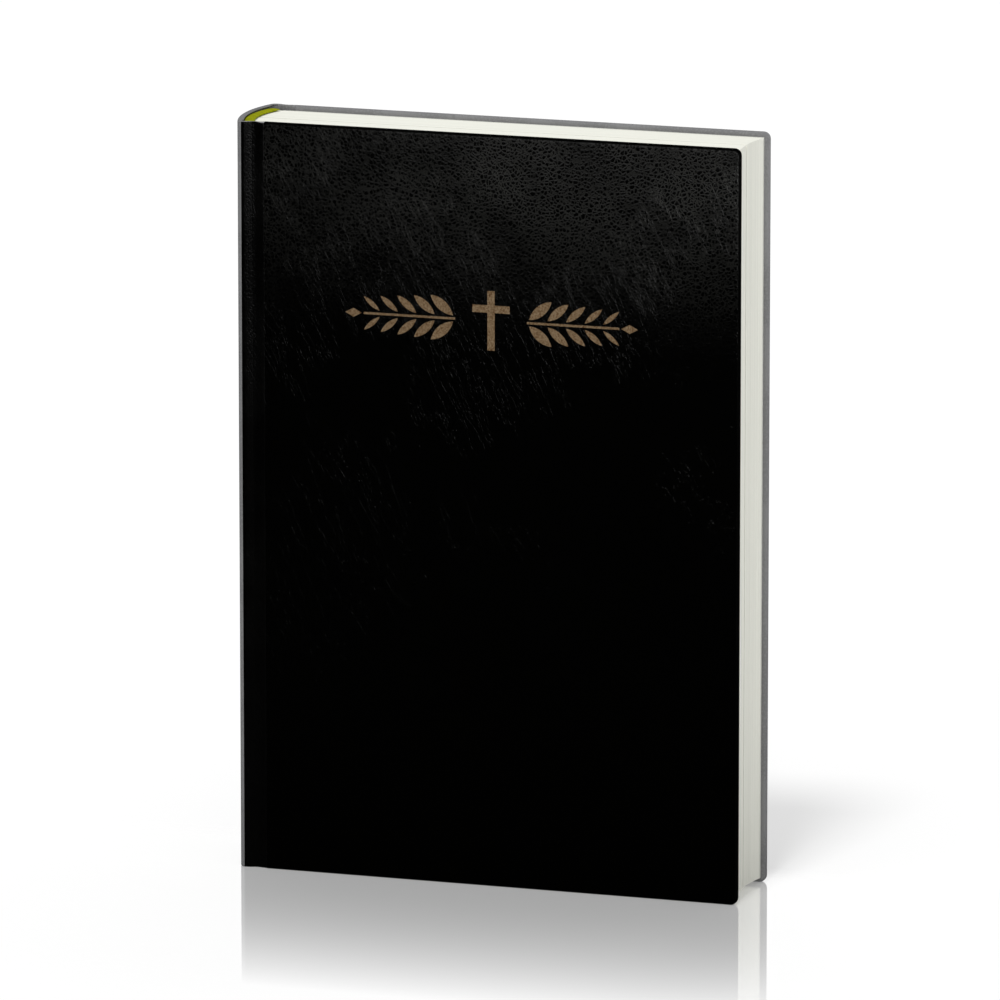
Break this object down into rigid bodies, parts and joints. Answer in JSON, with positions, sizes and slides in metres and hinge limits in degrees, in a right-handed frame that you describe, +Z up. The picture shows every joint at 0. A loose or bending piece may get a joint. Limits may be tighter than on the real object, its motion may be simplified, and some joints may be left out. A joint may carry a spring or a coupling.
{
  "type": "hardback bible",
  "caption": "Upright hardback bible in black grained leather with a stamped gold cross and sprigs, opening covers, flyleaves and sewn pages.",
  "frame": {"origin": "middle of the closed book's footprint, on the surface that its tail edge stands on", "axes": "+Z up along the spine, +X from the spine to the fore edge, -Y out of the front cover, +Y out of the back cover"},
  "size_m": [0.1499, 0.0304, 0.215],
  "materials": {
    "case_leather": "fine-grained black bonded leather, soft gloss",
    "joint_leather": "black bonded leather pressed into the hinge groove",
    "spine_leather": "fine-grained black bonded leather over the rounded back",
    "gold_foil": "stamped gold foil, warm and slightly worn",
    "board": "grey binder's board",
    "spine_card": "flexible grey card",
    "endpaper": "smooth cream endpaper",
    "bible_paper": "thin off-white bible paper, matte",
    "band_cloth": "woven olive yellow band",
    "mull_cloth": "open-weave starched cotton",
    "lining_paper": "brown kraft paper",
    "glue": "dried flexible binder's glue",
    "thread": "waxed linen thread"
  },
  "bodies": {
    "spine": {"spine_skin": "spine_leather", "spine_stiffener": "spine_card", "front_joint_skin": "joint_leather", "back_joint_skin": "joint_leather", "signature_folds": "bible_paper", "sewing_thread": "thread", "spine_glue": "glue", "spine_mull": "mull_cloth", "spine_lining": "lining_paper", "headband": "band_cloth", "tailband": "band_cloth"},
    "front_pages": {"signature_01": "bible_paper", "signature_02": "bible_paper", "signature_03": "bible_paper", "signature_04": "bible_paper", "signature_05": "bible_paper", "signature_06": "bible_paper", "signature_07": "bible_paper", "signature_08": "bible_paper"},
    "back_pages": {"signature_09": "bible_paper", "signature_10": "bible_paper", "signature_11": "bible_paper", "signature_12": "bible_paper", "signature_13": "bible_paper", "signature_14": "bible_paper", "signature_15": "bible_paper", "signature_16": "bible_paper"},
    "front_leaf": {"front_flyleaf": "endpaper"},
    "back_leaf": {"back_flyleaf": "endpaper"},
    "front_cover": {"front_cover_skin": "case_leather", "front_board": "board", "front_mull_flap": "mull_cloth", "front_pastedown": "endpaper", "cover_ornament": "gold_foil"},
    "back_cover": {"back_cover_skin": "case_leather", "back_board": "board", "back_mull_flap": "mull_cloth", "back_pastedown": "endpaper"}
  },
  "joints": [
    {"name": "front_pages_turn", "type": "hinge", "parent": "spine", "child": "front_pages", "pos_m": [-0.06735, -0.01535, 0], "axis": [0, 0, 1], "range_deg": [-90, 0]},
    {"name": "front_flyleaf_turn", "type": "hinge", "parent": "front_pages", "child": "front_leaf", "pos_m": [-0.06735, -0.01535, 0], "axis": [0, 0, 1], "range_deg": [-90, 0]},
    {"name": "front_cover_open", "type": "hinge", "parent": "front_leaf", "child": "front_cover", "pos_m": [-0.06735, -0.01535, 0], "axis": [0, 0, -1], "range_deg": [0, 179]},
    {"name": "back_pages_turn", "type": "hinge", "parent": "spine", "child": "back_pages", "pos_m": [-0.06735, 0.01535, 0], "axis": [0, 0, -1], "range_deg": [-90, 0]},
    {"name": "back_flyleaf_turn", "type": "hinge", "parent": "back_pages", "child": "back_leaf", "pos_m": [-0.06735, 0.01535, 0], "axis": [0, 0, -1], "range_deg": [-90, 0]},
    {"name": "back_cover_open", "type": "hinge", "parent": "back_leaf", "child": "back_cover", "pos_m": [-0.06735, 0.01535, 0], "axis": [0, 0, 1], "range_deg": [0, 179]}
  ]
}
